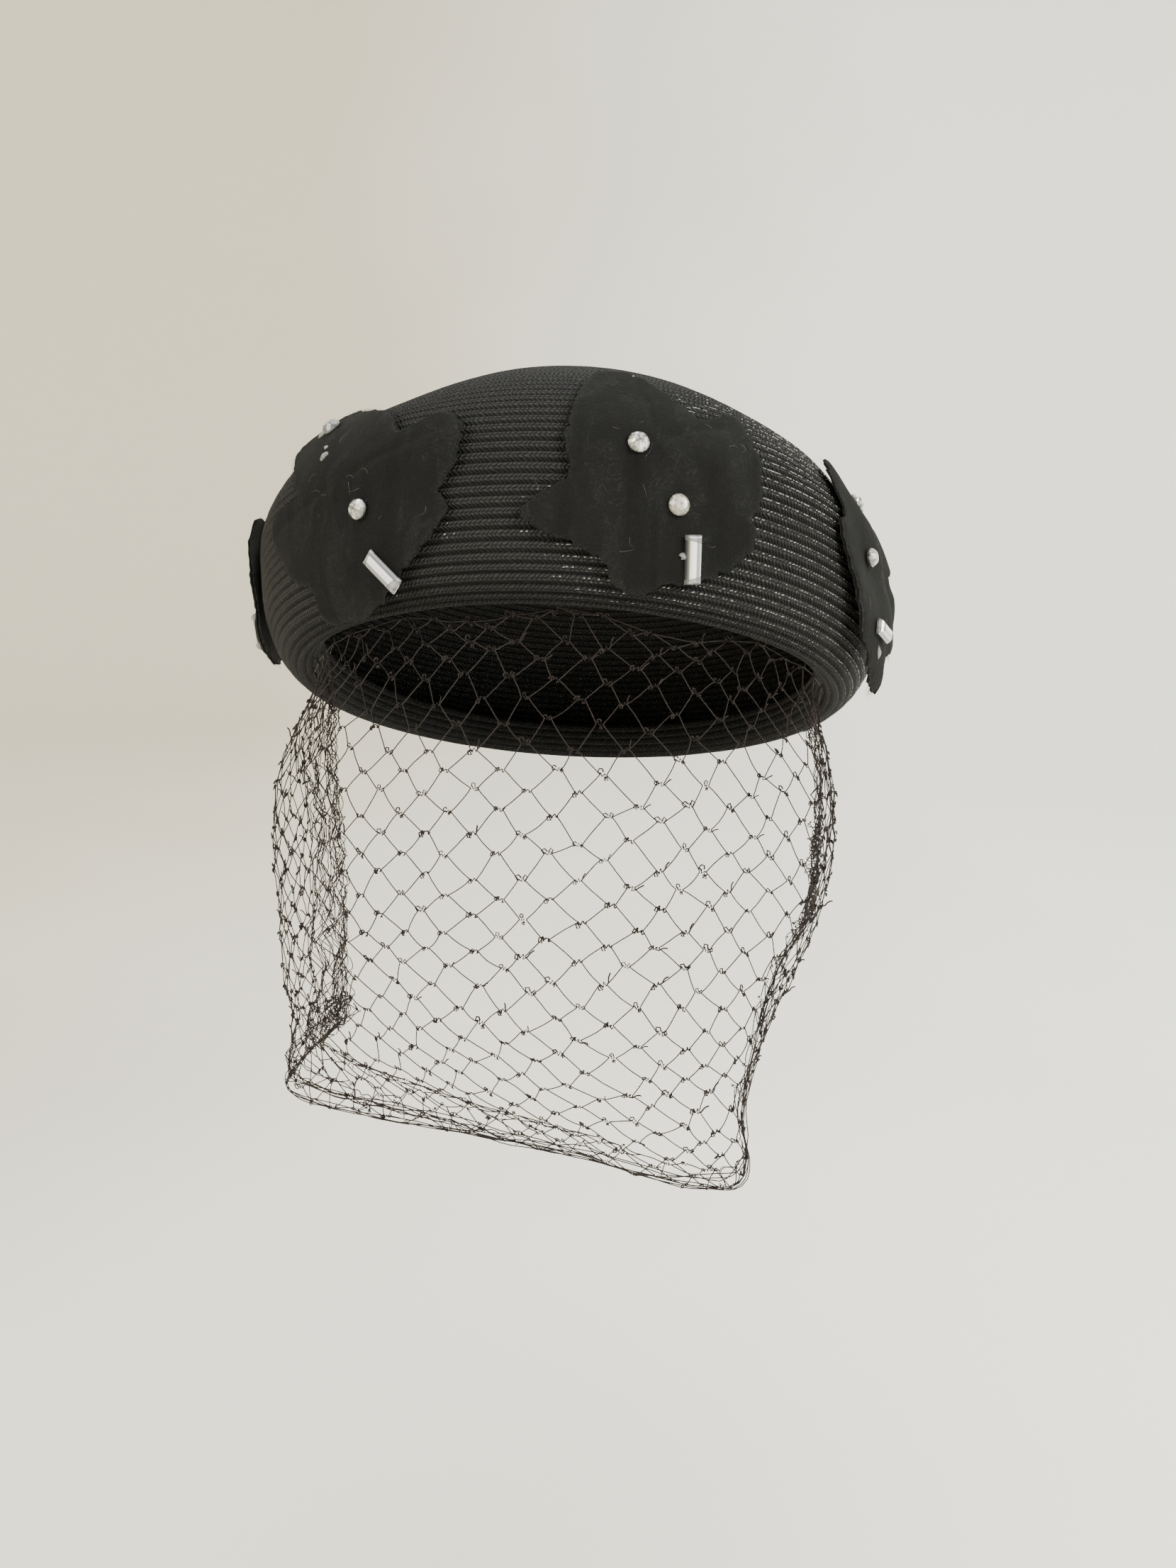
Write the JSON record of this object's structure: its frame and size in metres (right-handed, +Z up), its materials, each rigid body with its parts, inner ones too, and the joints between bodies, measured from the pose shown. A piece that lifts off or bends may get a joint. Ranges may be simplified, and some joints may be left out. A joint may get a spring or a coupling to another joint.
{
  "type": "veiled toque hat",
  "caption": "Black sewn braid bubble toque worn tilted back, with velvet leaves, glass stones and a face-length net veil.",
  "frame": {"origin": "the middle of the head opening, where the hat sits on the head", "axes": "+Z up as worn, -Y the way the wearer faces, +X to the viewer's right"},
  "size_m": [0.1901, 0.2184, 0.2026],
  "materials": {
    "braid": "sewn black braid with small glossy glints",
    "velvet": "matte black velvet pile",
    "glass_stone": "clear cut glass with a silvered back",
    "net": "stiff dark brown knotted net"
  },
  "bodies": {
    "root": {"crown": "braid", "leaf_1": "velvet", "leaf_1_round_upper": "glass_stone", "leaf_1_round_lower": "glass_stone", "leaf_1_baguette": "glass_stone", "leaf_2": "velvet", "leaf_2_round_upper": "glass_stone", "leaf_2_round_lower": "glass_stone", "leaf_2_baguette": "glass_stone", "leaf_3": "velvet", "leaf_3_round_upper": "glass_stone", "leaf_3_round_lower": "glass_stone", "leaf_3_baguette": "glass_stone", "leaf_4": "velvet", "leaf_4_round_upper": "glass_stone", "leaf_4_round_lower": "glass_stone", "leaf_4_baguette": "glass_stone", "leaf_5": "velvet", "leaf_5_round_upper": "glass_stone", "leaf_5_round_lower": "glass_stone", "leaf_5_baguette": "glass_stone", "leaf_6": "velvet", "leaf_6_round_upper": "glass_stone", "leaf_6_round_lower": "glass_stone", "leaf_6_baguette": "glass_stone", "leaf_7": "velvet", "leaf_7_round_upper": "glass_stone", "leaf_7_round_lower": "glass_stone", "leaf_7_baguette": "glass_stone", "veil_net": "net"}
  },
  "joints": []
}
